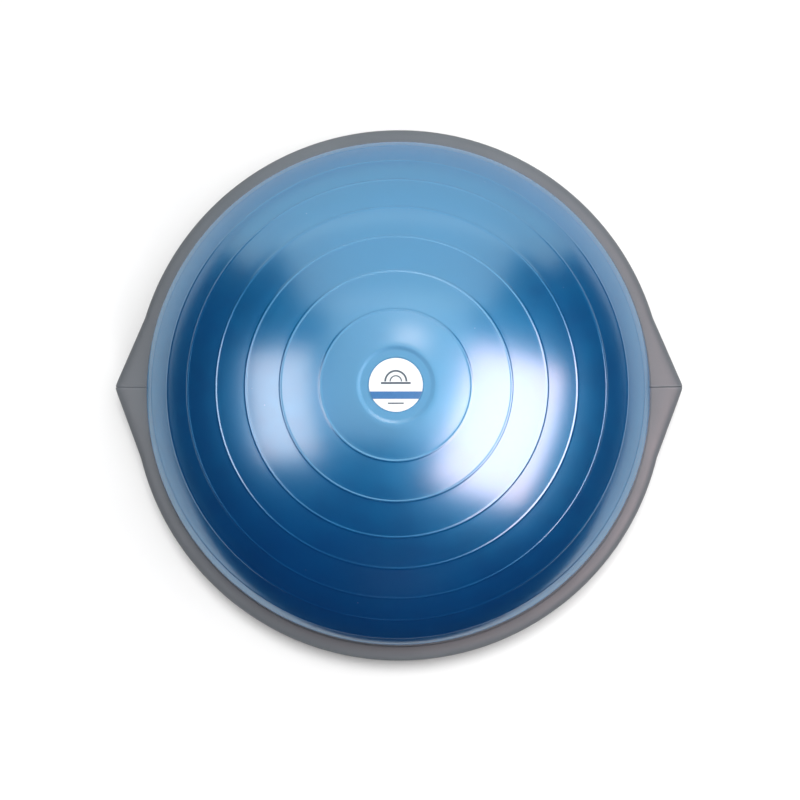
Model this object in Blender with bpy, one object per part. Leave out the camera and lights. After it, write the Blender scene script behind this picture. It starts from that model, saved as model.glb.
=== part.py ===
"""Balance dome trainer: an inflatable dome clamped to a round platform.

The platform stands flat on Z = 0 with the dome up, centred on the Z axis. The two pointed ears stand out along X,
both turned a little towards +Y. Lengths are in metres.
"""

import math

import bmesh
import bpy
from mathutils import Matrix, Vector

GAP = 0.0003  # kept between pieces that touch
CUTTER_REACH = 0.001  # how far a cutter runs past the surface it opens
ROUND_GAP = 0.001  # kept between round pieces that lie inside each other

# Platform and rim
RIM_RADIUS = 0.3175
RIM_TOP = 0.058
RIM_SHOULDER_RADIUS = 0.3012
RIM_SHOULDER_DROP = 0.013
RIM_SHOULDER_FULLNESS = 0.7  # 1 rounds the shoulder as an ellipse, less makes it squarer
RIM_WALL = 0.0049
RIM_SKIRT_BOTTOM = 0.030
RIM_LIP_RADIUS = 0.2938
RIM_TRIM_LINE_RADIUS = 0.2995
EAR_TIP_RADIUS = 0.3411
EAR_LEAN = math.radians(1.3)  # from the X axis towards +Y
EAR_HALF_ANGLE = math.radians(15.3)
EAR_STEPS = 7
REAR_HALF = (EAR_LEAN, math.pi - EAR_LEAN)  # directions from one ear's tip to the other's
FRONT_HALF = (math.pi - EAR_LEAN, 2 * math.pi + EAR_LEAN)
EAR_TIP_ROUNDING = 0.006
EAR_ROOF_RISE = 0.006

DECK_HEIGHT = 0.044  # the bladder's floor lies on this level
DECK_THICKNESS = 0.006
DECK_BOTTOM = DECK_HEIGHT - DECK_THICKNESS
DECK_RADIUS = RIM_RADIUS - RIM_WALL - ROUND_GAP
UNDERSIDE = 0.002  # the pads stand this far out of the platform's underside
PLATE_THICKNESS = 0.005
PAN_WALL = 0.004
PAN_TOP = DECK_BOTTOM - GAP
PAN_FOOT_RADIUS = 0.288
PAN_FOOT_CHAMFER = (0.004, 0.003)  # along the underside and up the wall
PAN_TOP_RADIUS = 0.301
GRIP_RECESS = 0.016
GRIP_FULL_ANGLE = math.radians(9.5)
GRIP_END_ANGLE = math.radians(14.0)

RADIAL_RIBS = 24
RIB_THICKNESS = 0.003
RING_RIB_RADII = (0.055, 0.185)
RIB_FOOT = UNDERSIDE + PLATE_THICKNESS / 2
RIB_TOP = PAN_TOP - 0.0005
RING_RIB_TOP = RIB_TOP - 0.0004
CHIMNEY_TOP = RIB_TOP - 0.0008
RING_RIB_TURN = 0.01  # keeps the corners of the ring ribs off the radial ribs

# Screws through the flange into the rim
SCREW_COUNT = 12
SCREW_CIRCLE_RADIUS = 0.3067
SCREW_SHANK_RADIUS = 0.0021
SCREW_HEAD_RADIUS = 0.0042
SCREW_HEAD_HEIGHT = 0.0030
SCREW_LENGTH = 0.014
SCREW_SOCKET_RADIUS = 0.0022
SCREW_SOCKET_DEPTH = 0.0018
SCREW_HOLE_RADIUS = 0.0026

# Dome
DOME_RADIUS = 0.2955
DOME_RISE = 0.168
DOME_EQUATOR_HEIGHT = 0.080
DOME_WALL = 0.0035
BEAD_RADIUS = 0.3006
BEAD_THICKNESS = 0.006
RECESS_RADIUS = 0.041
RECESS_FLOOR_HEIGHT = 0.2445
LABEL_RADIUS = 0.029
LABEL_THICKNESS = 0.0008

# Valve, off centre in the platform
VALVE_CENTRE = Vector((0.0, -0.141, 0.0))
CHIMNEY_RADIUS = 0.025
CHIMNEY_WALL = 0.003
VALVE_HOLE_RADIUS = 0.009
VALVE_BORE_RADIUS = 0.0052
VALVE_FLANGE_RADIUS = 0.017
VALVE_FLANGE_THICKNESS = 0.002
VALVE_TOP = 0.060
VALVE_TIP_RADIUS = 0.008
PLUG_HEAD_RADIUS = 0.012
PLUG_DIMPLE_RADIUS = 0.006
PLUG_DIMPLE_DEPTH = 0.001
PLUG_HEAD_BOTTOM = 0.0408
PLUG_BARB_HEIGHT = 0.051
PLUG_TOP = 0.0585

# Rubber pads under the platform: inner and outer radius of each ring
PAD_RECESS = 0.0015
PAD_END_GAP = 0.003
OUTER_PAD = (0.243, 0.262)
INNER_PAD = (0.080, 0.092)
CENTRE_PAD_RADIUS = 0.034

FULL_TURN = 2 * math.pi
CIRCLE_SEGMENTS = 48

RIM_GREY = (0.290, 0.310, 0.345)
PAN_GREY = (0.180, 0.190, 0.205)
DOME_BLUE = (0.015, 0.130, 0.400)
PAD_BLACK = (0.030, 0.030, 0.032)
LABEL_WHITE = (0.850, 0.870, 0.880)
PLUG_WHITE = (0.700, 0.700, 0.680)
VALVE_GREY = (0.120, 0.130, 0.140)
STEEL = (0.500, 0.500, 0.510)


def clear_scene():
    for old in list(bpy.data.objects):
        bpy.data.objects.remove(old)


def material(name, colour, roughness, metallic=0.0):
    made = bpy.data.materials.get(name) or bpy.data.materials.new(name)
    made.use_nodes = True
    shader = made.node_tree.nodes["Principled BSDF"]
    shader.inputs["Base Color"].default_value = (*colour, 1.0)
    shader.inputs["Roughness"].default_value = roughness
    shader.inputs["Metallic"].default_value = metallic
    return made


def finish_mesh(bm, name, look, sharp_angle=math.radians(35)):
    """Puts the bmesh in the scene as one named object, with outward faces and smooth shading."""
    bmesh.ops.recalc_face_normals(bm, faces=bm.faces)
    mesh = bpy.data.meshes.new(name)
    bm.to_mesh(mesh)
    bm.free()
    mesh.shade_smooth()
    mesh.set_sharp_from_angle(angle=sharp_angle)
    mesh.materials.append(look)
    piece = bpy.data.objects.new(name, mesh)
    bpy.context.scene.collection.objects.link(piece)
    return piece


def ring_mesh(section_at, angles, full_turn):
    """Sweeps a closed section of (radius, height) points round Z. Points on the axis are merged."""
    bm = bmesh.new()
    loops = []
    for angle in angles:
        direction = Vector((math.cos(angle), math.sin(angle), 0.0))
        loops.append([bm.verts.new(direction * r + Vector((0, 0, z))) for r, z in section_at(angle)])
    count = len(loops[0])
    pairs = list(zip(loops, loops[1:]))
    if full_turn:
        pairs.append((loops[-1], loops[0]))
    for here, there in pairs:
        for i in range(count):
            j = (i + 1) % count
            bm.faces.new((here[i], here[j], there[j], there[i]))
    if not full_turn:
        bm.faces.new(loops[0])
        bm.faces.new(reversed(loops[-1]))
    bmesh.ops.remove_doubles(bm, verts=bm.verts, dist=1e-6)
    along_axis = [edge for edge in bm.edges if not edge.link_faces]
    bmesh.ops.delete(bm, geom=along_axis, context="EDGES")
    return bm


def turned_mesh(profile, segments=CIRCLE_SEGMENTS):
    angles = [FULL_TURN * i / segments for i in range(segments)]
    return ring_mesh(lambda angle: profile, angles, full_turn=True)


def cylinder_mesh(centre, radius, bottom, top, segments):
    bm = bmesh.new()
    middle = Vector((centre.x, centre.y, (bottom + top) / 2))
    bmesh.ops.create_cone(
        bm, cap_ends=True, segments=segments, radius1=radius, radius2=radius, depth=top - bottom,
        matrix=Matrix.Translation(middle),
    )
    return bm


def combine(piece, shapes, operation, name):
    """Adds one Boolean modifier that unites the piece with all the shapes, or cuts them all from it."""
    mesh = bpy.data.meshes.new(name)
    joined = bmesh.new()
    for shape in shapes:
        bmesh.ops.recalc_face_normals(shape, faces=shape.faces)
        shape.to_mesh(mesh)
        shape.free()
        joined.from_mesh(mesh)
    joined.to_mesh(mesh)
    joined.free()
    tool = bpy.data.objects.new(name, mesh)
    tool.hide_render = True
    tool.display_type = "WIRE"
    bpy.context.scene.collection.objects.link(tool)
    modifier = piece.modifiers.new(name, "BOOLEAN")
    modifier.operation = operation
    modifier.solver = "EXACT"
    modifier.use_self = len(shapes) > 1
    modifier.object = tool


def angle_between(first, second):
    return abs((first - second + math.pi) % FULL_TURN - math.pi)


def angle_off_ears(angle):
    """How far a direction is from the tip of the nearer ear."""
    return min(angle_between(angle, tip) for tip in REAR_HALF)


def station_angles(start, end, plain_steps):
    """Directions from one ear's tip to the other's, closer together along the ears than in the stretch between."""
    ear = [EAR_HALF_ANGLE * i / EAR_STEPS for i in range(EAR_STEPS)]
    plain_span = end - start - 2 * EAR_HALF_ANGLE
    plain = [start + EAR_HALF_ANGLE + plain_span * i / plain_steps for i in range(plain_steps + 1)]
    return [start + a for a in ear] + plain + [end - a for a in reversed(ear)]


def rim_radius(angle):
    """Outer radius of the rim: a circle, except where the straight edges of an ear leave it."""
    off_ear = angle_off_ears(angle)
    if off_ear >= EAR_HALF_ANGLE:
        return RIM_RADIUS
    join = Vector((math.cos(EAR_HALF_ANGLE), math.sin(EAR_HALF_ANGLE))) * RIM_RADIUS
    slant = math.hypot(math.sin(off_ear), EAR_TIP_ROUNDING)
    edge = join.y * EAR_TIP_RADIUS / (join.y * math.cos(off_ear) + (EAR_TIP_RADIUS - join.x) * slant)
    return max(edge, RIM_RADIUS)


def rim_section(angle):
    """Section of the clamp rim: lip, trim line, rounded shoulder, skirt, finger hollow and bead pocket."""
    outer = rim_radius(angle)
    reach = outer - RIM_RADIUS
    ear_share = reach / (EAR_TIP_RADIUS - RIM_RADIUS)
    clamp_bottom = DECK_HEIGHT + GAP
    bead_pocket_top = clamp_bottom + BEAD_THICKNESS + GAP
    hollow_radius = DECK_RADIUS + ROUND_GAP
    pocket_radius = BEAD_RADIUS + ROUND_GAP
    skirt_inside = outer - RIM_WALL
    lip = [
        (RIM_LIP_RADIUS, RIM_TOP - 0.0012),
        (RIM_LIP_RADIUS + 0.0010, RIM_TOP),
        (RIM_TRIM_LINE_RADIUS - 0.0004, RIM_TOP),
        (RIM_TRIM_LINE_RADIUS, RIM_TOP - 0.0008),
        (RIM_TRIM_LINE_RADIUS + 0.0006, RIM_TOP - 0.0008),
    ]
    shoulder_steps = 5
    shoulder = []
    for i in range(shoulder_steps + 1):
        turn = math.pi / 2 * i / shoulder_steps
        shoulder.append((
            RIM_SHOULDER_RADIUS + (outer - RIM_SHOULDER_RADIUS) * math.sin(turn) ** RIM_SHOULDER_FULLNESS,
            RIM_TOP - RIM_SHOULDER_DROP * (1 - max(math.cos(turn), 0.0) ** RIM_SHOULDER_FULLNESS),
        ))
    skirt = [
        (outer - 0.0004, RIM_SKIRT_BOTTOM + 0.0015),
        (outer - 0.0014, RIM_SKIRT_BOTTOM),
        (skirt_inside, RIM_SKIRT_BOTTOM),
        (skirt_inside, DECK_HEIGHT - 0.002),
    ]
    hollow = [
        (hollow_radius, clamp_bottom + 0.001 + EAR_ROOF_RISE * ear_share),
        (hollow_radius - 0.001, clamp_bottom),
    ]
    pocket = [
        (pocket_radius, clamp_bottom),
        (pocket_radius, bead_pocket_top),
        (RIM_LIP_RADIUS, bead_pocket_top),
    ]
    return lip + shoulder + skirt + hollow + pocket


def screw_centres():
    for i in range(SCREW_COUNT):
        angle = FULL_TURN * (i + 0.5) / SCREW_COUNT
        yield Vector((math.cos(angle), math.sin(angle), 0.0)) * SCREW_CIRCLE_RADIUS


def screw_holes(bottom, top, side=0.0):
    """Cylinders for the screw holes between two heights, all round or on one side of the X axis."""
    return [
        cylinder_mesh(centre, SCREW_HOLE_RADIUS, bottom, top, segments=10)
        for centre in screw_centres()
        if centre.y * side >= 0
    ]


def build_rim():
    """Two half rings that meet at the ears and clamp the dome's bead."""
    look = material("rim_plastic", RIM_GREY, 0.5)
    blind_depth = DECK_BOTTOM + SCREW_LENGTH + CUTTER_REACH
    for name, ends, side in (("rim_half_rear", REAR_HALF, 1.0), ("rim_half_front", FRONT_HALF, -1.0)):
        bm = ring_mesh(rim_section, station_angles(*ends, plain_steps=26), full_turn=False)
        bmesh.ops.translate(bm, verts=bm.verts, vec=(0.0, side * GAP / 2, 0.0))
        half = finish_mesh(bm, name, look)
        combine(half, screw_holes(DECK_HEIGHT - CUTTER_REACH, blind_depth, side), "DIFFERENCE", f"{name}_holes")


def grip_share(angle):
    """1 along the finger recess in the pan's wall, 0 away from it, with a smooth end."""
    t = (GRIP_END_ANGLE - angle_off_ears(angle)) / (GRIP_END_ANGLE - GRIP_FULL_ANGLE)
    t = min(max(t, 0.0), 1.0)
    return t * t * (3 - 2 * t)


def pan_section(angle):
    """Half section of the platform pan, from the axis out along the underside and back inside it."""
    recess = GRIP_RECESS * grip_share(angle)
    groove_top = UNDERSIDE + PAD_RECESS
    plate_top = UNDERSIDE + PLATE_THICKNESS
    foot = PAN_FOOT_RADIUS - recess
    top = PAN_TOP_RADIUS - recess
    underside = [(0.0, groove_top), (CENTRE_PAD_RADIUS, groove_top), (CENTRE_PAD_RADIUS, UNDERSIDE)]
    for inner, outer in (INNER_PAD, OUTER_PAD):
        underside += [(inner, UNDERSIDE), (inner, groove_top), (outer, groove_top), (outer, UNDERSIDE)]
    outside = [(foot - PAN_FOOT_CHAMFER[0], UNDERSIDE), (foot, UNDERSIDE + PAN_FOOT_CHAMFER[1]), (top, PAN_TOP)]
    inside = [(top - PAN_WALL, PAN_TOP), (foot - PAN_WALL, plate_top), (0.0, plate_top)]
    return underside + outside + inside


def radial_rib_mesh():
    """All the radial ribs, each reaching into the middle of the pan's sloping wall."""
    bm = bmesh.new()
    start = RING_RIB_RADII[0]
    for i in range(RADIAL_RIBS):
        angle = FULL_TURN * (i + 0.5) / RADIAL_RIBS
        wall_middle = PAN_WALL / 2 + GRIP_RECESS * grip_share(angle)
        outline = [
            (start, RIB_FOOT),
            (PAN_FOOT_RADIUS - wall_middle, RIB_FOOT),
            (PAN_TOP_RADIUS - wall_middle, RIB_TOP),
            (start, RIB_TOP),
        ]
        turn = Matrix.Rotation(angle, 4, "Z")
        sides = []
        for across in (-RIB_THICKNESS / 2, RIB_THICKNESS / 2):
            sides.append([bm.verts.new(turn @ Vector((r, across, z))) for r, z in outline])
        bm.faces.new(sides[0])
        bm.faces.new(reversed(sides[1]))
        for j in range(4):
            k = (j + 1) % 4
            bm.faces.new((sides[0][k], sides[0][j], sides[1][j], sides[1][k]))
    return bm


def ring_rib_mesh(radius):
    inner = radius - RIB_THICKNESS / 2
    outer = radius + RIB_THICKNESS / 2
    profile = [(inner, RIB_FOOT), (outer, RIB_FOOT), (outer, RING_RIB_TOP), (inner, RING_RIB_TOP)]
    bm = turned_mesh(profile, segments=RADIAL_RIBS)
    bmesh.ops.rotate(bm, verts=bm.verts, cent=(0, 0, 0), matrix=Matrix.Rotation(RING_RIB_TURN, 3, "Z"))
    return bm


def build_pan():
    """The ribbed pan that closes the platform from below, with the chimney that leads to the air plug."""
    angles = station_angles(*REAR_HALF, plain_steps=18)[:-1] + station_angles(*FRONT_HALF, plain_steps=18)[:-1]
    look = material("pan_plastic", PAN_GREY, 0.6)
    pan = finish_mesh(ring_mesh(pan_section, angles, full_turn=True), "base_pan", look)
    chimney = cylinder_mesh(VALVE_CENTRE, CHIMNEY_RADIUS + CHIMNEY_WALL, RIB_FOOT, CHIMNEY_TOP, segments=24)
    ribs = [radial_rib_mesh(), *[ring_rib_mesh(radius) for radius in RING_RIB_RADII]]
    combine(pan, [*ribs, chimney], "UNION", "pan_ribs")
    access = cylinder_mesh(VALVE_CENTRE, CHIMNEY_RADIUS, -CUTTER_REACH, PAN_TOP + CUTTER_REACH, segments=24)
    combine(pan, [access], "DIFFERENCE", "plug_access")


def build_deck():
    """The flat plate that the bladder lies on. The screws pass through its edge into the rim."""
    profile = [(0.0, DECK_BOTTOM), (DECK_RADIUS, DECK_BOTTOM), (DECK_RADIUS, DECK_HEIGHT), (0.0, DECK_HEIGHT)]
    deck = finish_mesh(turned_mesh(profile, segments=72), "deck_plate", material("pan_plastic", PAN_GREY, 0.6))
    low = DECK_BOTTOM - CUTTER_REACH
    high = DECK_HEIGHT + CUTTER_REACH
    valve_opening = cylinder_mesh(VALVE_CENTRE, CHIMNEY_RADIUS, low, high, segments=24)
    combine(deck, [valve_opening, *screw_holes(low, high)], "DIFFERENCE", "deck_holes")


def build_screws():
    """Socket-head screws, heads down, all with one mesh."""
    look = material("screw_steel", STEEL, 0.35, metallic=1.0)
    head_top = DECK_BOTTOM - GAP
    head_bottom = head_top - SCREW_HEAD_HEIGHT
    profile = [
        (0.0, head_bottom),
        (SCREW_HEAD_RADIUS - 0.0006, head_bottom),
        (SCREW_HEAD_RADIUS, head_bottom + 0.0008),
        (SCREW_HEAD_RADIUS, head_top),
        (SCREW_SHANK_RADIUS, head_top),
        (SCREW_SHANK_RADIUS, head_top + SCREW_LENGTH - 0.0015),
        (0.0, head_top + SCREW_LENGTH),
    ]
    first = finish_mesh(turned_mesh(profile, segments=10), "rim_screw_01", look)
    socket_top = head_bottom + SCREW_SOCKET_DEPTH
    socket = cylinder_mesh(Vector(), SCREW_SOCKET_RADIUS, head_bottom - CUTTER_REACH, socket_top, segments=6)
    combine(first, [socket], "DIFFERENCE", "screw_socket")
    bpy.context.view_layer.update()
    graph = bpy.context.evaluated_depsgraph_get()
    mesh = bpy.data.meshes.new_from_object(first.evaluated_get(graph))
    first.modifiers.clear()
    first.data = mesh
    for i, centre in enumerate(screw_centres(), 1):
        screw = first if i == 1 else bpy.data.objects.new(f"rim_screw_{i:02d}", mesh)
        screw.location = centre
        if i > 1:
            bpy.context.scene.collection.objects.link(screw)


def dome_points(radius, rise, lowest, crown_radius, steps):
    """Points of the dome's half section, an ellipse from the lowest height up to a radius near the crown."""
    start = math.asin((lowest - DOME_EQUATOR_HEIGHT) / rise)
    end = math.acos(crown_radius / radius)
    for i in range(steps + 1):
        turn = start + (end - start) * i / steps
        yield radius * math.cos(turn), DOME_EQUATOR_HEIGHT + rise * math.sin(turn)


def build_dome():
    """The hollow air chamber: bead, dome wall, crown recess and flat floor with the valve hole."""
    floor_bottom = DECK_HEIGHT + GAP
    floor_top = floor_bottom + DOME_WALL
    bead_top = floor_bottom + BEAD_THICKNESS
    recess_bevel = 0.002
    outside = [(0.0, floor_bottom), (BEAD_RADIUS, floor_bottom), (BEAD_RADIUS, bead_top)]
    outside += dome_points(DOME_RADIUS, DOME_RISE, bead_top, RECESS_RADIUS + recess_bevel, steps=15)
    outside += [(RECESS_RADIUS, RECESS_FLOOR_HEIGHT), (0.0, RECESS_FLOOR_HEIGHT)]
    inside = list(dome_points(DOME_RADIUS - DOME_WALL, DOME_RISE - DOME_WALL, floor_top, RECESS_RADIUS, steps=11))
    ceiling = RECESS_FLOOR_HEIGHT - DOME_WALL
    inside = [(r, min(z, ceiling)) for r, z in inside]
    bm = turned_mesh(outside)
    cavity = turned_mesh([(0.0, floor_top), *inside, (0.0, ceiling)])
    dome = finish_mesh(bm, "dome_bladder", material("dome_vinyl", DOME_BLUE, 0.25))
    low = floor_bottom - CUTTER_REACH
    hole = cylinder_mesh(VALVE_CENTRE, VALVE_HOLE_RADIUS, low, floor_top + CUTTER_REACH, segments=16)
    combine(dome, [cavity], "DIFFERENCE", "air_space")
    combine(dome, [hole], "DIFFERENCE", "valve_hole")


def build_label():
    bottom = RECESS_FLOOR_HEIGHT + GAP
    top = bottom + LABEL_THICKNESS
    bevel = 0.0003
    profile = [
        (0.0, bottom),
        (LABEL_RADIUS, bottom),
        (LABEL_RADIUS, top - bevel),
        (LABEL_RADIUS - bevel, top),
        (0.0, top),
    ]
    finish_mesh(turned_mesh(profile, segments=32), "crown_label", material("label_print", LABEL_WHITE, 0.4))


def build_valve():
    """The flanged sleeve in the bladder's floor and the plug that is pushed into it from below."""
    floor_bottom = DECK_HEIGHT + GAP
    flange_bottom = floor_bottom + DOME_WALL + GAP
    sleeve = VALVE_HOLE_RADIUS - GAP
    seat_profile = [
        (VALVE_BORE_RADIUS, floor_bottom + GAP),
        (sleeve, floor_bottom + GAP),
        (sleeve, flange_bottom),
        (VALVE_FLANGE_RADIUS, flange_bottom),
        (VALVE_FLANGE_RADIUS, flange_bottom + VALVE_FLANGE_THICKNESS),
        (sleeve, flange_bottom + 1.6 * VALVE_FLANGE_THICKNESS),
        (VALVE_TIP_RADIUS, VALVE_TOP),
        (VALVE_BORE_RADIUS, VALVE_TOP),
    ]
    seat = finish_mesh(turned_mesh(seat_profile, segments=16), "valve_seat", material("valve_vinyl", VALVE_GREY, 0.5))
    seat.location = VALVE_CENTRE
    stem = VALVE_BORE_RADIUS - GAP
    head_top = floor_bottom - GAP
    ease = 0.0008
    plug_profile = [
        (0.0, PLUG_HEAD_BOTTOM + PLUG_DIMPLE_DEPTH),
        (PLUG_DIMPLE_RADIUS - ease, PLUG_HEAD_BOTTOM + PLUG_DIMPLE_DEPTH),
        (PLUG_DIMPLE_RADIUS, PLUG_HEAD_BOTTOM),
        (PLUG_HEAD_RADIUS - ease, PLUG_HEAD_BOTTOM),
        (PLUG_HEAD_RADIUS, PLUG_HEAD_BOTTOM + ease),
        (PLUG_HEAD_RADIUS, head_top),
        (stem - ease / 2, head_top),
        (stem - ease / 2, PLUG_BARB_HEIGHT - 0.001),
        (stem, PLUG_BARB_HEIGHT),
        (stem - ease / 2, PLUG_BARB_HEIGHT + 0.001),
        (stem - ease, PLUG_TOP - 0.0015),
        (0.0020, PLUG_TOP),
        (0.0, PLUG_TOP),
    ]
    plug = finish_mesh(turned_mesh(plug_profile, segments=16), "air_plug", material("plug_vinyl", PLUG_WHITE, 0.4))
    plug.location = VALVE_CENTRE


def pad_section(inner, outer):
    """A pad's section, with its lower edges eased."""
    top = UNDERSIDE + PAD_RECESS - GAP
    ease = 0.0006
    return [
        (inner + ROUND_GAP, top),
        (inner + ROUND_GAP, ease),
        (inner + ROUND_GAP + ease, 0.0),
        (outer - ROUND_GAP - ease, 0.0),
        (outer - ROUND_GAP, ease),
        (outer - ROUND_GAP, top),
    ]


def build_pads():
    """Non-slip pads let into the underside: two broken rings of four pads, and a disc in the middle."""
    look = material("pad_rubber", PAD_BLACK, 0.85)
    quarter = FULL_TURN / 4
    steps = 9
    for ring_name, (inner, outer) in (("outer_pad", OUTER_PAD), ("inner_pad", INNER_PAD)):
        end_gap = PAD_END_GAP / inner
        for i in range(4):
            start = quarter * i + end_gap
            span = quarter - 2 * end_gap
            angles = [start + span * step / steps for step in range(steps + 1)]
            section = pad_section(inner, outer)
            pad = ring_mesh(lambda angle, section=section: section, angles, full_turn=False)
            finish_mesh(pad, f"{ring_name}_{i + 1}", look)
    disc = [(r, z) for r, z in pad_section(0.0, CENTRE_PAD_RADIUS) if r > CENTRE_PAD_RADIUS / 2]
    disc = [(0.0, 0.0), *disc, (0.0, disc[-1][1])]
    finish_mesh(turned_mesh(disc, segments=32), "centre_pad", look)


def main():
    clear_scene()
    build_pan()
    build_deck()
    build_rim()
    build_dome()
    build_label()
    build_valve()
    build_pads()
    build_screws()


main()
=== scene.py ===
"""Looks of the balance dome trainer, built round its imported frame.

The platform stands flat on Z = 0 with the dome up, centred on the Z axis. The two pointed ears stand out
along X, both turned a little towards +Y. Lengths are in metres.
"""

import math

import bmesh
import bpy
import numpy as np
from mathutils import Matrix, Vector


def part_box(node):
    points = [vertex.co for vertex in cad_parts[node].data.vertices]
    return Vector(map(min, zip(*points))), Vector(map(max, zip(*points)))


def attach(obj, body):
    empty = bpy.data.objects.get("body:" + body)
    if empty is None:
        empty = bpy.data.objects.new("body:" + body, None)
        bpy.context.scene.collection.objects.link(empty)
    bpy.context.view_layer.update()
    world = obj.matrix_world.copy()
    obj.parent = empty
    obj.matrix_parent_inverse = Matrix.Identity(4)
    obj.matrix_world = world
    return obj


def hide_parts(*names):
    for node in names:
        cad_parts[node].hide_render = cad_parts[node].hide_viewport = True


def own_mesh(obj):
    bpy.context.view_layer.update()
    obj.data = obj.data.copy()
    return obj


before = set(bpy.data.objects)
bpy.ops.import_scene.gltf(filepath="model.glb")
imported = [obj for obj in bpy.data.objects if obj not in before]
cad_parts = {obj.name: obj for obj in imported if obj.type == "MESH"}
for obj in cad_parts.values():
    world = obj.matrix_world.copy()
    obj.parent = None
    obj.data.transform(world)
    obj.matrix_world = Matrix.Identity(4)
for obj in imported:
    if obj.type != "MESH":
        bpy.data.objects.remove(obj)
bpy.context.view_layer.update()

FULL_TURN = 2 * math.pi
GAP = 0.0003  # between pieces that touch
ROUND_GAP = 0.001  # between round pieces that lie inside each other
SHARP_ANGLE = math.radians(32)  # an edge that turns further than this isn't shaded smooth

# Clamp rim
rim_low, rim_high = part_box("rim_half_front")
RIM_TOP = rim_high.z
RIM_SKIRT_BOTTOM = rim_low.z
RIM_RADIUS = -rim_low.y - GAP / 2
RIM_WALL = 0.0049
LIP_RADIUS = 0.2938
TRIM_LINE_RADIUS = 0.2995
TRIM_LINE_WIDTH = 0.0016
TRIM_LINE_DEPTH = 0.0005
SHOULDER_RADIUS = 0.3012
SHOULDER_DROP = 0.013
SHOULDER_FULLNESS = 0.7  # 1 rounds the shoulder as an ellipse, less makes it squarer
SHOULDER_STEPS = 16
SKIRT_DRAFT = 0.0004  # how much further in the skirt's foot stands than its top
SKIRT_FOOT_ROUNDING = 0.0014
HOLLOW_SHOULDER = 0.002  # the skirt's inside ends this far below the deck's top
HOLLOW_BEVEL = 0.001
EAR_LEAN = math.radians(1.3)  # from the X axis towards +Y
EAR_TIP_RADIUS = rim_high.x / math.cos(EAR_LEAN)
EAR_HALF_ANGLE = math.radians(15.3)
EAR_TIP_ROUNDING = 0.006
EAR_ROOF_RISE = 0.006
SEAM_EASE = 0.0006
EAR_DIRECTIONS = (EAR_LEAN, math.pi - EAR_LEAN)
REAR_HALF = EAR_DIRECTIONS  # from one ear's tip to the other's
FRONT_HALF = (math.pi - EAR_LEAN, FULL_TURN + EAR_LEAN)

# Platform
deck_low, deck_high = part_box("deck_plate")
DECK_HEIGHT = deck_high.z
DECK_BOTTOM = deck_low.z
DECK_RADIUS = deck_high.x
pan_low, pan_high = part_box("base_pan")
UNDERSIDE = pan_low.z
PAN_TOP = pan_high.z
PLATE_THICKNESS = 0.005
PLATE_TOP = UNDERSIDE + PLATE_THICKNESS
PAN_WALL = 0.004
PAN_EDGE_ROUNDING = 0.0004
PAN_FOOT_RADIUS = 0.288
PAN_FOOT_BEVEL = (0.0035, 0.003)  # its width along the underside, and its height
PAN_TOP_RADIUS = 0.301
GRIP_RECESS = 0.016
GRIP_FULL_ANGLE = math.radians(9.5)
GRIP_END_ANGLE = math.radians(14.0)
PAN_GROOVE_RADII = (0.048, 0.104, 0.116, 0.205, 0.217, 0.229, 0.272)
PAN_GROOVE_WIDTH = 0.0022
PAN_GROOVE_DEPTH = 0.0009
FOOT_GROOVE_INSET = 0.008  # from the pan's foot in to the outermost groove, beside a finger recess
RADIAL_RIBS = 24
RIB_THICKNESS = 0.003
RING_RIB_RADII = (0.055, 0.185)
RIB_FOOT = UNDERSIDE + PLATE_THICKNESS / 2
RIB_TOP = PAN_TOP - 0.0005
RING_RIB_DROP = 0.0004  # from the radial ribs' top down to the ring ribs'

# Non-slip pads
PAD_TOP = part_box("outer_pad_1")[1].z
PAD_RECESS = PAD_TOP + GAP - UNDERSIDE
OUTER_PAD = (0.243, 0.262)
INNER_PAD = (0.080, 0.092)
CENTRE_PAD_RADIUS = 0.034
PADS_IN_RING = 4
PAD_END_GAP = 0.003
PAD_END_EASE = 0.0012  # the length over which a pad's end rises
PAD_END_RISE = 0.0008
PAD_MOST_RISE = 0.0012
PAD_EDGE_ROUNDING = 0.0006
PAD_STEP = 0.0006  # between the sections along a pad
TREAD_DEPTH = 0.0009
TREAD_WIDTH = 0.0014
CUT_HALF_WIDTH = TREAD_WIDTH * 0.6
CUT_STEEPNESS = 1.5  # 1 eases a cut's sides all the way to its middle, more gives it a flat bottom
CENTRE_PAD_TREADS = 6
CENTRE_TREAD_SPACING = CENTRE_PAD_RADIUS / 7.5

# Dome
DOME_RADIUS = 0.2955
DOME_RISE = 0.168
DOME_EQUATOR_HEIGHT = 0.080
DOME_WALL = 0.0035
BEAD_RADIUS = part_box("dome_bladder")[1].x
BEAD_THICKNESS = 0.006
BEAD_ROUNDING = 0.0012
FLOOR_BOTTOM = DECK_HEIGHT + GAP
FLOOR_TOP = FLOOR_BOTTOM + DOME_WALL
FLOOR_RING_RADIUS = BEAD_RADIUS * 0.75  # of a ring of points on the flat underside
FLOOR_EDGE_WIDTH = 0.002  # from the foot of the wall to the next ring of points on the floor's top
BEAD_TOP = FLOOR_BOTTOM + BEAD_THICKNESS
label_low, label_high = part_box("crown_label")
LABEL_BOTTOM = label_low.z
LABEL_TOP = label_high.z
LABEL_RADIUS = label_high.x
LABEL_ROUNDING = 0.0004
LABEL_SEAT_HEIGHT = LABEL_BOTTOM - GAP
LABEL_SEAT_EASE = 0.0003
RECESS_INSIDE = 0.037
RECESS_EDGE = 0.043
RECESS_STEPS = 12  # over the curved wall of the crown recess
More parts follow.
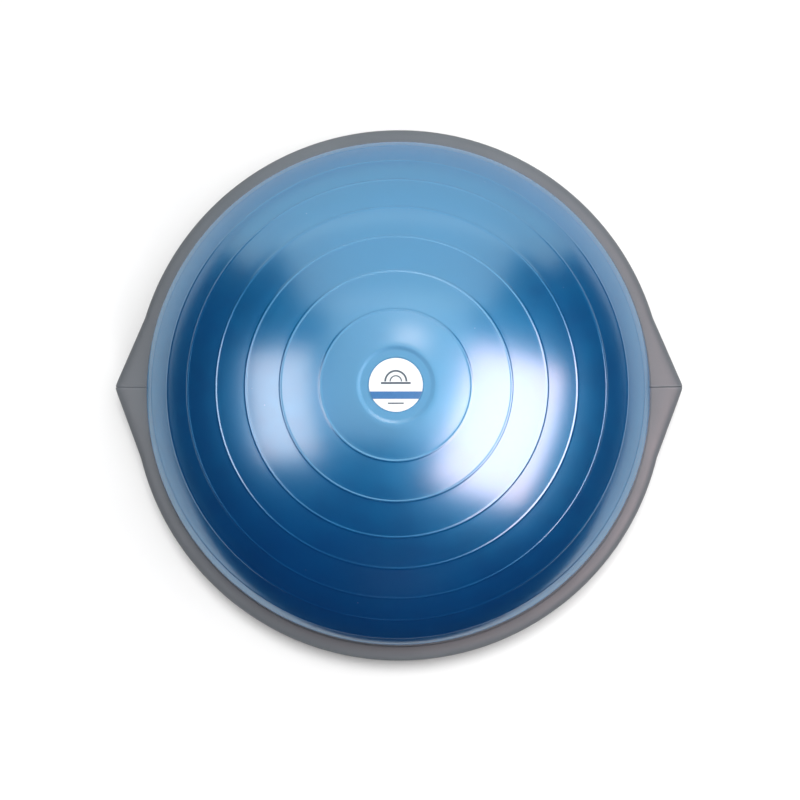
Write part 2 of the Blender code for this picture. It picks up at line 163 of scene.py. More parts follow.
# Distances of the raised rings from the recess's edge, along the surface
RING_DISTANCES = (0.0392, 0.0839, 0.1252, 0.1630, 0.2034, 0.2382, 0.2770)
RING_HALF_WIDTH = 0.0019
RING_HEIGHT = 0.00035
RING_ROWS = 15  # rows of points over a raised ring
RING_ROWS_REACH = 1.1  # how far they reach from its middle, in half widths
RING_ROWS_CLEAR = 1.3  # the plain rows stay this far from its middle, in half widths
PLAIN_ROWS = 84
DOME_SEGMENTS = 192
ARC_SAMPLES = 4001
INSIDE_STRIDE = 100  # the dome's plain inside uses every hundredth sample

# Print on the label, with lengths from its centre
BAND = (-0.0151, -0.0070)
BALL_CENTRE_Y = 0.0037
BALL_LINE = (0.0104, 0.0124)
INNER_LINE = (0.0054, 0.0068)
BALL_LINE_TOP = 0.02  # higher over the ball's centre than its lines reach
BOARD_LINE = (0.0009, 0.0031)
BOARD_HALF_LENGTH = 0.0160
FOOT_LINE = (-0.0205, -0.0190)
FOOT_LINE_HALF_LENGTH = 0.0085
PRINT_EDGE = 0.00012  # half the width over which the print's edge fades

# Valve and plug
plug_low, plug_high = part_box("air_plug")
VALVE_CENTRE = Vector(((plug_low.x + plug_high.x) / 2, (plug_low.y + plug_high.y) / 2, 0.0))
PLUG_HEAD_RADIUS = (plug_high.x - plug_low.x) / 2
PLUG_FACE_SHARE = 0.82  # of the head's radius that its flat face takes up
PLUG_DIMPLE_RADII = (0.0048, 0.0060)
PLUG_DIMPLE_DEPTH = 0.0010
PLUG_GRIPS = 24  # grooves round the head's edge
PLUG_GRIP_SHARE = 0.012  # half a groove's depth, as a share of the head's radius
BARB_HEIGHTS = (0.0056, 0.0070, 0.0084)  # over the plug's head
TAPER_HEIGHT = 0.0130
PLUG_TIP_RADIUS = 0.0020
CHIMNEY_RADIUS = 0.025
CHIMNEY_WALL = 0.003
CHIMNEY_FOOT = UNDERSIDE + 0.0006
CHIMNEY_TOP = RIB_TOP - 0.001
CHIMNEY_ROUNDING = 0.0006
VALVE_HOLE_RADIUS = 0.009
VALVE_BORE_RADIUS = 0.0052
VALVE_NECK_RADIUS = 0.008
VALVE_FLANGE_RADIUS = 0.017
VALVE_FLANGE_THICKNESS = 0.0020
VALVE_COLLAR_HEIGHT = 0.0032  # of the collar's foot, over the flange's underside
VALVE_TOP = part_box("valve_seat")[1].z

# Screws
SCREW_COUNT = 12
SCREW_CIRCLE_RADIUS = 0.3067
SCREW_HOLE_RADIUS = 0.0026
SCREW_HOLE_SPARE = 0.001  # past the screw's tip above, and past the deck's top below
SCREW_HEAD_RADIUS = 0.0042
SCREW_HEAD_HEIGHT = 0.0030
SCREW_SHANK_RADIUS = 0.0021
SCREW_LENGTH = 0.014
SCREW_TIP_RADIUS = 0.0008
SCREW_TIP_LENGTH = 0.0003
SCREW_TURN = 1.7  # radians from one screw's turn about its axis to the next one's
THREAD_PITCH = 0.0016
THREAD_DEPTH = 0.0005
THREAD_STEPS = 6  # rings of points for each turn of the thread
THREAD_START = 0.0010  # over the head
THREAD_END = SCREW_LENGTH - 0.0015
HEX_SOCKET_APOTHEM = 0.0019
HEX_SOCKET_DEPTH = 0.0018


# ---------------------------------------------------------------- mesh tools


def eased(corners, closed=True, steps=3):
    """Rounds an outline's corners. Each corner is (x, y, radius), or (x, y) where it stays sharp."""
    most = 0.45  # share of an edge that the rounding at one end may take
    points = []
    count = len(corners)
    for i, corner in enumerate(corners):
        here = Vector(corner[:2])
        inside = closed or 0 < i < count - 1
        radius = corner[2] if len(corner) > 2 and inside else 0.0
        if radius == 0.0:
            points.append(tuple(here))
            continue
        before = Vector(corners[i - 1][:2]) - here
        after = Vector(corners[(i + 1) % count][:2]) - here
        start = here + before * min(radius / before.length, most)
        end = here + after * min(radius / after.length, most)
        for step in range(steps + 1):
            t = step / steps
            points.append(tuple(start * (1 - t) ** 2 + here * 2 * t * (1 - t) + end * t * t))
    return points


def skin(name, rings, look, ends="poles"):
    """Joins rings of points into one closed surface.

    A ring of one point is a pole. With ends="loop" the last ring joins the first, and with ends="caps" the
    first and the last ring are filled.
    """
    starts = np.cumsum([0] + [len(ring) for ring in rings])
    pairs = list(zip(range(len(rings)), range(1, len(rings))))
    if ends == "loop":
        pairs.append((len(rings) - 1, 0))
    faces = []
    for first, second in pairs:
        count = max(len(rings[first]), len(rings[second]))
        for i in range(count):
            j = (i + 1) % count
            corners = [starts[first] + i, starts[first] + j, starts[second] + j, starts[second] + i]
            if len(rings[first]) == 1:
                corners = [starts[first], starts[second] + j, starts[second] + i]
            elif len(rings[second]) == 1:
                corners = [starts[first] + i, starts[first] + j, starts[second]]
            faces.append([int(corner) for corner in corners])
    if ends == "caps":
        faces.append([int(starts[0]) + i for i in range(len(rings[0]))])
        faces.append([int(starts[-2]) + i for i in range(len(rings[-1]))])
    mesh = bpy.data.meshes.new(name)
    mesh.from_pydata([tuple(point) for ring in rings for point in ring], [], faces)
    return finish_mesh(name, mesh, look)


def finish_mesh(name, mesh, look):
    """Turns a mesh's faces outwards, shades it and makes it a piece."""
    bm = bmesh.new()
    bm.from_mesh(mesh)
    bmesh.ops.recalc_face_normals(bm, faces=bm.faces)
    bm.to_mesh(mesh)
    bm.free()
    mesh.shade_smooth()
    mesh.set_sharp_from_angle(angle=SHARP_ANGLE)
    mesh.materials.append(look)
    piece = bpy.data.objects.new(name, mesh)
    bpy.context.scene.collection.objects.link(piece)
    return piece


def circle(radius, height, centre=Vector(), segments=96, shape=None):
    """A ring of points at one height. shape gives each direction's share of the radius."""
    if radius == 0.0:
        return [(centre.x, centre.y, height)]
    points = []
    for i in range(segments):
        angle = FULL_TURN * i / segments
        reach = radius * (shape(angle) if shape else 1.0)
        points.append((centre.x + reach * math.cos(angle), centre.y + reach * math.sin(angle), height))
    return points


def turned(name, profile, look, segments=96, centre=Vector()):
    """Turns a profile of (radius, height) about a vertical axis.

    The profile starts and ends on the axis, or is a closed loop.
    """
    ends = "poles" if profile[0][0] == 0.0 else "loop"
    return skin(name, [circle(r, z, centre, segments) for r, z in profile], look, ends)


def swept(name, section_at, angles, look, full_turn=False, shift_y=0.0):
    """Sweeps a closed section of (radius, height) round Z. section_at gives the section in a direction."""
    rings = []
    for angle in angles:
        across, along = math.cos(angle), math.sin(angle)
        rings.append([(r * across, r * along + shift_y, z) for r, z in section_at(angle)])
    return skin(name, rings, look, "loop" if full_turn else "caps")


def carve(piece, cutters):
    """Cuts closed meshes from a piece, and removes them."""
    for cutter in cutters:
        modifier = piece.modifiers.new(cutter.name, "BOOLEAN")
        modifier.operation = "DIFFERENCE"
        modifier.object = cutter
    bpy.context.view_layer.update()
    graph = bpy.context.evaluated_depsgraph_get()
    mesh = bpy.data.meshes.new_from_object(piece.evaluated_get(graph))
    piece.modifiers.clear()
    piece.data = mesh
    mesh.set_sharp_from_angle(angle=SHARP_ANGLE)
    for cutter in cutters:
        bpy.data.objects.remove(cutter)


def joined(name, parts):
    """One piece from several solids, which stay separate shells."""
    bm = bmesh.new()
    for part in parts:
        bm.from_mesh(part.data)
    mesh = bpy.data.meshes.new(name)
    bm.to_mesh(mesh)
    bm.free()
    look = parts[0].data.materials[0]
    for part in parts:
        bpy.data.objects.remove(part)
    return finish_mesh(name, mesh, look)


# ---------------------------------------------------------------- outlines


def angle_between(first, second):
    return abs((first - second + math.pi) % FULL_TURN - math.pi)


def angle_off_ears(angle):
    """How far a direction is from the tip of the nearer ear."""
    return min(angle_between(angle, tip) for tip in EAR_DIRECTIONS)


def sweep_angles(start, end):
    """Directions round the platform, closer together near the ears."""
    fine, plain = math.radians(0.5), math.radians(1.5)
    near_ears = math.radians(17)
    angles = [start]
    while end - angles[-1] > fine / 2:
        step = fine if angle_off_ears(angles[-1]) < near_ears else plain
        angles.append(min(angles[-1] + step, end))
    return angles


def smooth_step(t):
    """Rises from 0 to 1 with level ends."""
    t = min(max(t, 0.0), 1.0)
    return t * t * (3 - 2 * t)


def rim_radius(angle):
    """Outer radius of the rim: a circle, except where the straight edges of an ear leave it."""
    off_ear = angle_off_ears(angle)
    if off_ear >= EAR_HALF_ANGLE:
        return RIM_RADIUS
    join = Vector((math.cos(EAR_HALF_ANGLE), math.sin(EAR_HALF_ANGLE))) * RIM_RADIUS
    slant = math.hypot(math.sin(off_ear), EAR_TIP_ROUNDING)
    edge = join.y * EAR_TIP_RADIUS / (join.y * math.cos(off_ear) + (EAR_TIP_RADIUS - join.x) * slant)
    return max(edge, RIM_RADIUS)


def rim_section(angle, dip=0.0):
    """Section of the clamp rim: lip, trim line, rounded shoulder, skirt, finger hollow and bead pocket.

    dip takes a little off the top and the outside, for the eased edges of the seam between the halves.
    """
    line_edge = 0.0003
    ear_share = (rim_radius(angle) - RIM_RADIUS) / (EAR_TIP_RADIUS - RIM_RADIUS)
    outer = rim_radius(angle) - dip
    top = RIM_TOP - dip
    pocket_top = BEAD_TOP + GAP
    pocket_radius = BEAD_RADIUS + ROUND_GAP
    hollow_radius = DECK_RADIUS + ROUND_GAP
    skirt_inside = rim_radius(angle) - RIM_WALL
    half = TRIM_LINE_WIDTH / 2
    corners = [
        (LIP_RADIUS, top, 0.0016),
        (TRIM_LINE_RADIUS - half, top, line_edge),
        (TRIM_LINE_RADIUS - half / 2, top - TRIM_LINE_DEPTH, line_edge),
        (TRIM_LINE_RADIUS + half / 2, top - TRIM_LINE_DEPTH, line_edge),
        (TRIM_LINE_RADIUS + half, top, line_edge),
    ]
    for i in range(SHOULDER_STEPS + 1):
        turn = math.pi / 2 * i / SHOULDER_STEPS
        corners.append((
            SHOULDER_RADIUS + (outer - SHOULDER_RADIUS) * math.sin(turn) ** SHOULDER_FULLNESS,
            top - SHOULDER_DROP * (1 - max(math.cos(turn), 0.0) ** SHOULDER_FULLNESS),
        ))
    corners += [
        (outer - SKIRT_DRAFT, RIM_SKIRT_BOTTOM, SKIRT_FOOT_ROUNDING),
        (skirt_inside, RIM_SKIRT_BOTTOM, 0.0010),
        (skirt_inside, DECK_HEIGHT - HOLLOW_SHOULDER, 0.0020),
        (hollow_radius, FLOOR_BOTTOM + HOLLOW_BEVEL + EAR_ROOF_RISE * ear_share, 0.0010),
        (hollow_radius - HOLLOW_BEVEL, FLOOR_BOTTOM),
        (pocket_radius, FLOOR_BOTTOM),
        (pocket_radius, pocket_top),
        (LIP_RADIUS, pocket_top, 0.0006),
    ]
    return eased(corners)


def grip_share(angle):
    """1 along the finger recess in the pan's wall, 0 away from it, with a smooth end."""
    return smooth_step((GRIP_END_ANGLE - angle_off_ears(angle)) / (GRIP_END_ANGLE - GRIP_FULL_ANGLE))


def groove(radius, width, depth, level):
    """Corners of a shallow rounded groove across a flat stretch of a section."""
    half = width / 2
    rounding = width / 6
    return [
        (radius - half, level, rounding),
        (radius - half / 2, level + depth, rounding),
        (radius + half / 2, level + depth, rounding),
        (radius + half, level, rounding),
    ]


def pan_section(angle):
    """Half section of the platform pan, from the axis out along the underside and back inside it."""
    recess = GRIP_RECESS * grip_share(angle)
    foot = PAN_FOOT_RADIUS - recess
    top = PAN_TOP_RADIUS - recess
    seat = UNDERSIDE + PAD_RECESS
    edge = PAN_EDGE_ROUNDING
    features = {CENTRE_PAD_RADIUS: [(CENTRE_PAD_RADIUS, seat, edge), (CENTRE_PAD_RADIUS, UNDERSIDE, edge)]}
    for inner, outer in (INNER_PAD, OUTER_PAD):
        features[inner] = [
            (inner, UNDERSIDE, edge),
            (inner, seat, edge),
            (outer, seat, edge),
            (outer, UNDERSIDE, edge),
        ]
    for radius in PAN_GROOVE_RADII:
        radius = min(radius, foot - FOOT_GROOVE_INSET)
        features[radius] = groove(radius, PAN_GROOVE_WIDTH, PAN_GROOVE_DEPTH, UNDERSIDE)
    corners = [(0.0, seat)]
    for radius in sorted(features):
        corners += features[radius]
    bevel_width, bevel_height = PAN_FOOT_BEVEL
    corners += [
        (foot - bevel_width, UNDERSIDE, 0.0015),
        (foot, UNDERSIDE + bevel_height, 0.003),
        (top, PAN_TOP, 0.0005),
        (top - PAN_WALL, PAN_TOP),
        (foot - PAN_WALL, PLATE_TOP, 0.002),
        (0.0, PLATE_TOP),
    ]
    return eased(corners, closed=False)


# ---------------------------------------------------------------- pieces


def dome_arc(radius, rise):
    """The dome's half section from the crown recess's edge down to the bead.

    It gives tables of distance along the arc, radius, height and turn. The turn is the ellipse's own angle.
    """
    start = math.acos(RECESS_EDGE / radius)
    end = math.asin((BEAD_TOP - DOME_EQUATOR_HEIGHT) / rise)
    turn = np.linspace(start, end, ARC_SAMPLES)
    across = radius * np.cos(turn)
    height = DOME_EQUATOR_HEIGHT + rise * np.sin(turn)
    steps = np.hypot(np.diff(across), np.diff(height))
    distance = np.concatenate([[0.0], np.cumsum(steps)])
    return distance, across, height, turn


def ring_profile(distance):
    """Height of the raised rings over the dome's surface, at a distance from the crown recess's edge."""
    off = min(abs(distance - ring) for ring in RING_DISTANCES) / RING_HALF_WIDTH
    return RING_HEIGHT * max(0.0, 1 - off * off) ** 1.5


def dome_distances(length):
    """Where the dome's rows of points lie: evenly spaced, but close together over the raised rings."""
    places = set(np.linspace(0.0, length, PLAIN_ROWS))
    over_ring = np.linspace(-RING_ROWS_REACH, RING_ROWS_REACH, RING_ROWS) * RING_HALF_WIDTH
    clear = RING_ROWS_CLEAR * RING_HALF_WIDTH
    for middle in RING_DISTANCES:
        places = {place for place in places if abs(place - middle) > clear}
        places |= set(middle + over_ring)
    return sorted(place for place in places if 0.0 <= place <= length)


def dome_outside():
    """Profile of the dome's outside, from the crown recess down to the bead."""
    distance, across, height, turn = dome_arc(DOME_RADIUS, DOME_RISE)
    profile = []
    for place in dome_distances(distance[-1]):
        t = np.interp(place, distance, turn)
        outwards = Vector((math.cos(t) / DOME_RADIUS, math.sin(t) / DOME_RISE)).normalized()
        out = outwards * ring_profile(place)
        profile.append((
            float(np.interp(place, distance, across)) + out.x,
            float(np.interp(place, distance, height)) + out.y,
        ))
    return profile


def dome_inside():
    """Profile of the dome's plain inside, from the floor's edge up the wall to the crown."""
    ceiling = LABEL_SEAT_HEIGHT - DOME_WALL
    _, across, height, _ = dome_arc(DOME_RADIUS - DOME_WALL, DOME_RISE - DOME_WALL)
    wall = [(float(across[i]), float(height[i])) for i in range(ARC_SAMPLES - 1, -1, -INSIDE_STRIDE)]
    return [(r, max(min(z, ceiling), FLOOR_TOP)) for r, z in wall] + [(0.0, ceiling)]


def crown_recess(edge_height):
    """Profile of the crown: the label's seat, and the soft step up to the dome's surface."""
    seat = LABEL_RADIUS + ROUND_GAP
    profile = [
        (0.0, LABEL_SEAT_HEIGHT),
        (seat, LABEL_SEAT_HEIGHT),
        (seat, LABEL_TOP - LABEL_SEAT_EASE),
        (seat + LABEL_SEAT_EASE, LABEL_TOP),
    ]
    for step in range(RECESS_STEPS + 1):
        share = step / RECESS_STEPS
        radius = RECESS_INSIDE + (RECESS_EDGE - RECESS_INSIDE) * share
        profile.append((radius, LABEL_TOP + (edge_height - LABEL_TOP) * smooth_step(share)))
    return profile


def build_dome(look):
    """The hollow air chamber.

    Its surface runs from the crown over the outside and the bead to the valve hole, and back inside.
    """
    wall = dome_outside()
    bead = eased([
        wall[-1],
        (BEAD_RADIUS, BEAD_TOP, BEAD_ROUNDING),
        (BEAD_RADIUS, FLOOR_BOTTOM, BEAD_ROUNDING),
        (FLOOR_RING_RADIUS, FLOOR_BOTTOM),
    ], closed=False, steps=4)
    outside = crown_recess(wall[0][1]) + wall[1:] + bead[1:]
    inside = dome_inside()
    floor_edge = inside[0][0] - FLOOR_EDGE_WIDTH
    rings = [circle(r, z, segments=DOME_SEGMENTS) for r, z in outside]
    rings += [circle(VALVE_HOLE_RADIUS, z, VALVE_CENTRE, DOME_SEGMENTS) for z in (FLOOR_BOTTOM, FLOOR_TOP)]
    rings.append(circle(floor_edge, FLOOR_TOP, segments=DOME_SEGMENTS))
    rings += [circle(r, z, segments=DOME_SEGMENTS) for r, z in inside]
    dome = skin("inflated_dome", rings, look)
    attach(dome, "root")
    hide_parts("dome_bladder")
    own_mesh(dome)


def build_label(look):
    """The round label that lies in the crown recess."""
    profile = eased([
        (0.0, LABEL_BOTTOM),
        (LABEL_RADIUS, LABEL_BOTTOM),
        (LABEL_RADIUS, LABEL_TOP, LABEL_ROUNDING),
        (0.0, LABEL_TOP),
    ], closed=False)
    label = turned("printed_crown_disc", profile, look)
    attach(label, "dome")
    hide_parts("crown_label")


def screw_angles():
    return [FULL_TURN * (i + 0.5) / SCREW_COUNT for i in range(SCREW_COUNT)]


def screw_place(angle):
    return Vector((math.cos(angle), math.sin(angle), 0.0)) * SCREW_CIRCLE_RADIUS


def build_rim(look):
    """Two half rings that meet at the ears and clamp the dome's bead."""
    for name, node, (start, end), side in (
        ("clamp_rim_rear", "rim_half_rear", REAR_HALF, 1.0),
        ("clamp_rim_front", "rim_half_front", FRONT_HALF, -1.0),
    ):
        def section(angle):
            return rim_section(angle, SEAM_EASE if angle in (start, end) else 0.0)

        seam = SEAM_EASE / EAR_TIP_RADIUS
        angles = [start, *sweep_angles(start + seam, end - seam), end]
        half = swept(name, section, angles, look, shift_y=side * GAP / 2)
        carve(half, [joined("screw_holes", screw_holes(start, end, look))])
        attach(half, "root")
        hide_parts(node)


def screw_holes(start, end, look):
    """Cutters for the blind screw holes between two directions."""
    low = DECK_HEIGHT - SCREW_HOLE_SPARE
    high = DECK_BOTTOM + SCREW_LENGTH + SCREW_HOLE_SPARE
    profile = [(0.0, low), (SCREW_HOLE_RADIUS, low), (SCREW_HOLE_RADIUS, high), (0.0, high)]
    places = [screw_place(angle) for angle in screw_angles() if start < angle < end]
    return [turned("screw_hole", profile, look, segments=24, centre=place) for place in places]


def build_pan(look):
    """The platform's lower pan: a shell with its ribs and the chimney that leads to the plug."""
    pan = swept("platform_pan", pan_section, sweep_angles(0.0, FULL_TURN)[:-1], look, full_turn=True)
    merge_axis(pan)
    reach = 0.002
    low = UNDERSIDE - reach
    high = PLATE_TOP + reach
    profile = [(0.0, low), (CHIMNEY_RADIUS, low), (CHIMNEY_RADIUS, high), (0.0, high)]
    carve(pan, [turned("plug_access", profile, look, centre=VALVE_CENTRE)])
    chimney_profile = eased([
        (CHIMNEY_RADIUS, CHIMNEY_FOOT, CHIMNEY_ROUNDING),
        (CHIMNEY_RADIUS + CHIMNEY_WALL, CHIMNEY_FOOT),
        (CHIMNEY_RADIUS + CHIMNEY_WALL, CHIMNEY_TOP, CHIMNEY_ROUNDING),
        (CHIMNEY_RADIUS, CHIMNEY_TOP, CHIMNEY_ROUNDING),
    ])
    chimney = turned("plug_chimney", chimney_profile, look, centre=VALVE_CENTRE)
    ribs = build_ribs(look)
    for piece in (pan, chimney, ribs):
        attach(piece, "root")
    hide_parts("base_pan")


def merge_axis(piece):
    """Merges a swept section's points that lie on the axis."""
    same_place = 1e-6
    bm = bmesh.new()
    bm.from_mesh(piece.data)
    bmesh.ops.remove_doubles(bm, verts=bm.verts, dist=same_place)
    bmesh.ops.delete(bm, geom=[edge for edge in bm.edges if not edge.link_faces], context="EDGES")
    bm.to_mesh(piece.data)
    bm.free()


def build_ribs(look):
    """Radial and ring ribs between the pan's plate and the deck. They pass through each other uncut."""
    parts = []
    half = RIB_THICKNESS / 2
    start = RING_RIB_RADII[0]
    for i in range(RADIAL_RIBS):
        angle = FULL_TURN * (i + 0.5) / RADIAL_RIBS
        wall_middle = PAN_WALL / 2 + GRIP_RECESS * grip_share(angle)
        outline = [
            (start, RIB_FOOT),
            (PAN_FOOT_RADIUS - wall_middle, RIB_FOOT),
            (PAN_TOP_RADIUS - wall_middle, RIB_TOP),
            (start, RIB_TOP),
        ]
        along = Vector((math.cos(angle), math.sin(angle), 0.0))
        across = Vector((-along.y, along.x, 0.0))
        rings = []
        for side in (-half, half):
            rings.append([along * r + across * side + Vector((0, 0, z)) for r, z in outline])
        parts.append(skin("rib", rings, look, "caps"))
    top = RIB_TOP - RING_RIB_DROP
    for radius in RING_RIB_RADII:
        inner, outer = radius - half, radius + half
        profile = [(inner, RIB_FOOT), (outer, RIB_FOOT), (outer, top), (inner, top)]
        parts.append(turned("ring_rib", profile, look))
    return joined("platform_ribs", parts)


def pad_section(inner, outer, lift, treads):
    """A pad's section with its tread grooves. lift raises the whole tread face."""
    near = inner + ROUND_GAP
    far = outer - ROUND_GAP
    corners = [(near, PAD_TOP), (near, lift, PAD_EDGE_ROUNDING)]
    for i in range(1, treads + 1):
        middle = near + (far - near) * i / (treads + 1)
        corners += groove(middle, TREAD_WIDTH, TREAD_DEPTH, lift)
    corners += [(far, lift, PAD_EDGE_ROUNDING), (far, PAD_TOP)]
    return eased(corners)


def pad_lift(along, span, length, cuts):
    """How far a pad's tread face is raised, at an angle along it: at its ends and in the cuts across it."""
    from_end = min(along, span - along) * length / span
    lift = PAD_END_RISE * smooth_step(1 - from_end / PAD_END_EASE)
    cut = along / span * cuts
    nearest = round(cut)
    if 0 < nearest < cuts:
        off_cut = abs(cut - nearest) * length / cuts
        lift += TREAD_DEPTH * smooth_step(CUT_STEEPNESS * (1 - off_cut / CUT_HALF_WIDTH))
    return min(lift, PAD_MOST_RISE)


def build_ring_pads(ring_name, inner, outer, treads, cuts, look):
    """A broken ring of pads, each with grooves along it and cuts across it."""
    quarter = FULL_TURN / PADS_IN_RING
    end_gap = PAD_END_GAP / inner
    span = quarter - 2 * end_gap
    length = span * (inner + outer) / 2
    steps = int(length / PAD_STEP)
    for i in range(PADS_IN_RING):
        start = quarter * i + end_gap

        def section(angle):
            return pad_section(inner, outer, pad_lift(angle - start, span, length, cuts), treads)

        angles = [start + span * step / steps for step in range(steps + 1)]
        pad = swept(f"ribbed_{ring_name}_{i + 1}", section, angles, look)
        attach(pad, "root")
        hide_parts(f"{ring_name}_{i + 1}")


def build_pads(look):
    """Non-slip pads let into the underside: two broken rings of four pads, and a disc in the middle."""
    build_ring_pads("outer_pad", *OUTER_PAD, treads=4, cuts=22, look=look)
    build_ring_pads("inner_pad", *INNER_PAD, treads=2, cuts=10, look=look)
    corners = [(0.0, 0.0)]
    for i in range(1, CENTRE_PAD_TREADS + 1):
        corners += groove(CENTRE_TREAD_SPACING * i, TREAD_WIDTH, TREAD_DEPTH, 0.0)
    edge = CENTRE_PAD_RADIUS - ROUND_GAP
    corners += [(edge, 0.0, PAD_EDGE_ROUNDING), (edge, PAD_TOP), (0.0, PAD_TOP)]
    disc = turned("ribbed_centre_pad", eased(corners, closed=False), look)
    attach(disc, "root")
    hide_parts("centre_pad")


def build_valve_seat(look):
    """The flanged sleeve in the bladder's floor."""
    foot = FLOOR_BOTTOM + GAP
    flange = FLOOR_TOP + GAP
    sleeve = VALVE_HOLE_RADIUS - GAP
    seat = turned("air_valve_sleeve", eased([
        (VALVE_BORE_RADIUS, foot, 0.0004),
        (sleeve, foot, 0.0004),
        (sleeve, flange),
        (VALVE_FLANGE_RADIUS, flange, 0.0003),
        (VALVE_FLANGE_RADIUS, flange + VALVE_FLANGE_THICKNESS, 0.0010),
        (sleeve, flange + VALVE_COLLAR_HEIGHT, 0.0015),
        (VALVE_NECK_RADIUS, VALVE_TOP, 0.0008),
        (VALVE_BORE_RADIUS, VALVE_TOP, 0.0005),
    ]), look, segments=64, centre=VALVE_CENTRE)
    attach(seat, "root")
    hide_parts("valve_seat")


def grip_shape(angle):
    """Wavy edge of the plug's head, for circle()."""
    return 1 - PLUG_GRIP_SHARE * (1 + math.cos(PLUG_GRIPS * angle))


def build_plug(look):
    """The plug that is pushed into the valve from below: dimpled head, barbed stem and tapered tip."""
    stem = VALVE_BORE_RADIUS - GAP
    neck = stem - 0.0004
    head_top = FLOOR_BOTTOM - GAP
    head_bottom = plug_low.z
    dimple_top = head_bottom + PLUG_DIMPLE_DEPTH
    dimple_inner, dimple_outer = PLUG_DIMPLE_RADII
    barb_foot, barb_middle, barb_top = [head_top + height for height in BARB_HEIGHTS]
    profile = eased([
        (0.0, dimple_top),
        (dimple_inner, dimple_top, 0.0008),
        (dimple_outer, head_bottom, 0.0005),
        (PLUG_HEAD_RADIUS * PLUG_FACE_SHARE, head_bottom, 0.0008),
        (PLUG_HEAD_RADIUS, head_bottom + 0.0010, 0.0008),
        (PLUG_HEAD_RADIUS, head_top, 0.0005),
        (neck, head_top, 0.0004),
        (neck, barb_foot, 0.0006),
        (stem, barb_middle, 0.0008),
        (stem - 0.0006, barb_top, 0.0006),
        (stem - 0.0008, head_top + TAPER_HEIGHT, 0.0010),
        (PLUG_TIP_RADIUS, plug_high.z, 0.0008),
        (0.0, plug_high.z),
    ], closed=False)
    rings = []
    for radius, height in profile:
        at_edge = radius > PLUG_HEAD_RADIUS * 0.95
        rings.append(circle(radius, height, VALVE_CENTRE, shape=grip_shape if at_edge else None))
    plug = skin("push_in_plug", rings, look)
    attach(plug, "plug")
    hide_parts("air_plug")


def hexagon_share(angle):
    """Shape of a hexagon for circle(), as a share of the distance to its flats."""
    sixth = FULL_TURN / 6
    return 1 / math.cos((angle + sixth / 2) % sixth - sixth / 2)


def screw_rings():
    """Rings of one socket-head screw with its thread, head down, on the Z axis."""
    segments = 36
    head_top = DECK_BOTTOM - GAP
    head_bottom = head_top - SCREW_HEAD_HEIGHT
    socket_top = head_bottom + HEX_SOCKET_DEPTH
    rings = [circle(0.0, socket_top + 0.0004)]
    for height in (socket_top, head_bottom + 0.0003):
        rings.append(circle(HEX_SOCKET_APOTHEM, height, segments=segments, shape=hexagon_share))
    head = eased([
        (SCREW_HEAD_RADIUS * 0.6, head_bottom),
        (SCREW_HEAD_RADIUS, head_bottom, 0.0009),
        (SCREW_HEAD_RADIUS, head_top, 0.0002),
        (SCREW_SHANK_RADIUS, head_top, 0.0002),
        (SCREW_SHANK_RADIUS, head_top + 0.0006),
    ], closed=False)
    rings += [circle(radius, height, segments=segments) for radius, height in head]
    steps = int((THREAD_END - THREAD_START) / THREAD_PITCH * THREAD_STEPS)
    for i in range(steps + 1):
        height = head_top + THREAD_START + (THREAD_END - THREAD_START) * i / steps

        def thread(angle):
            phase = (height / THREAD_PITCH - angle / FULL_TURN) % 1.0
            return 1 - THREAD_DEPTH / SCREW_SHANK_RADIUS * abs(2 * phase - 1)

        rings.append(circle(SCREW_SHANK_RADIUS, height, segments=segments, shape=thread))
    tip = head_top + SCREW_LENGTH
    rings.append(circle(SCREW_TIP_RADIUS, tip - SCREW_TIP_LENGTH, segments=segments))
    rings.append(circle(0.0, tip))
    return rings


def build_screws(look):
    """The twelve screws share one mesh, and each is turned differently about its axis."""
    first = skin("socket_screw_01", screw_rings(), look)
    for i, angle in enumerate(screw_angles(), 1):
        screw = first if i == 1 else bpy.data.objects.new(f"socket_screw_{i:02d}", first.data)
        if i > 1:
            bpy.context.scene.collection.objects.link(screw)
        screw.location = screw_place(angle)
        screw.rotation_euler.z = SCREW_TURN * i
        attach(screw, "root")
        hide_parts(f"rim_screw_{i:02d}")


# ---------------------------------------------------------------- materials


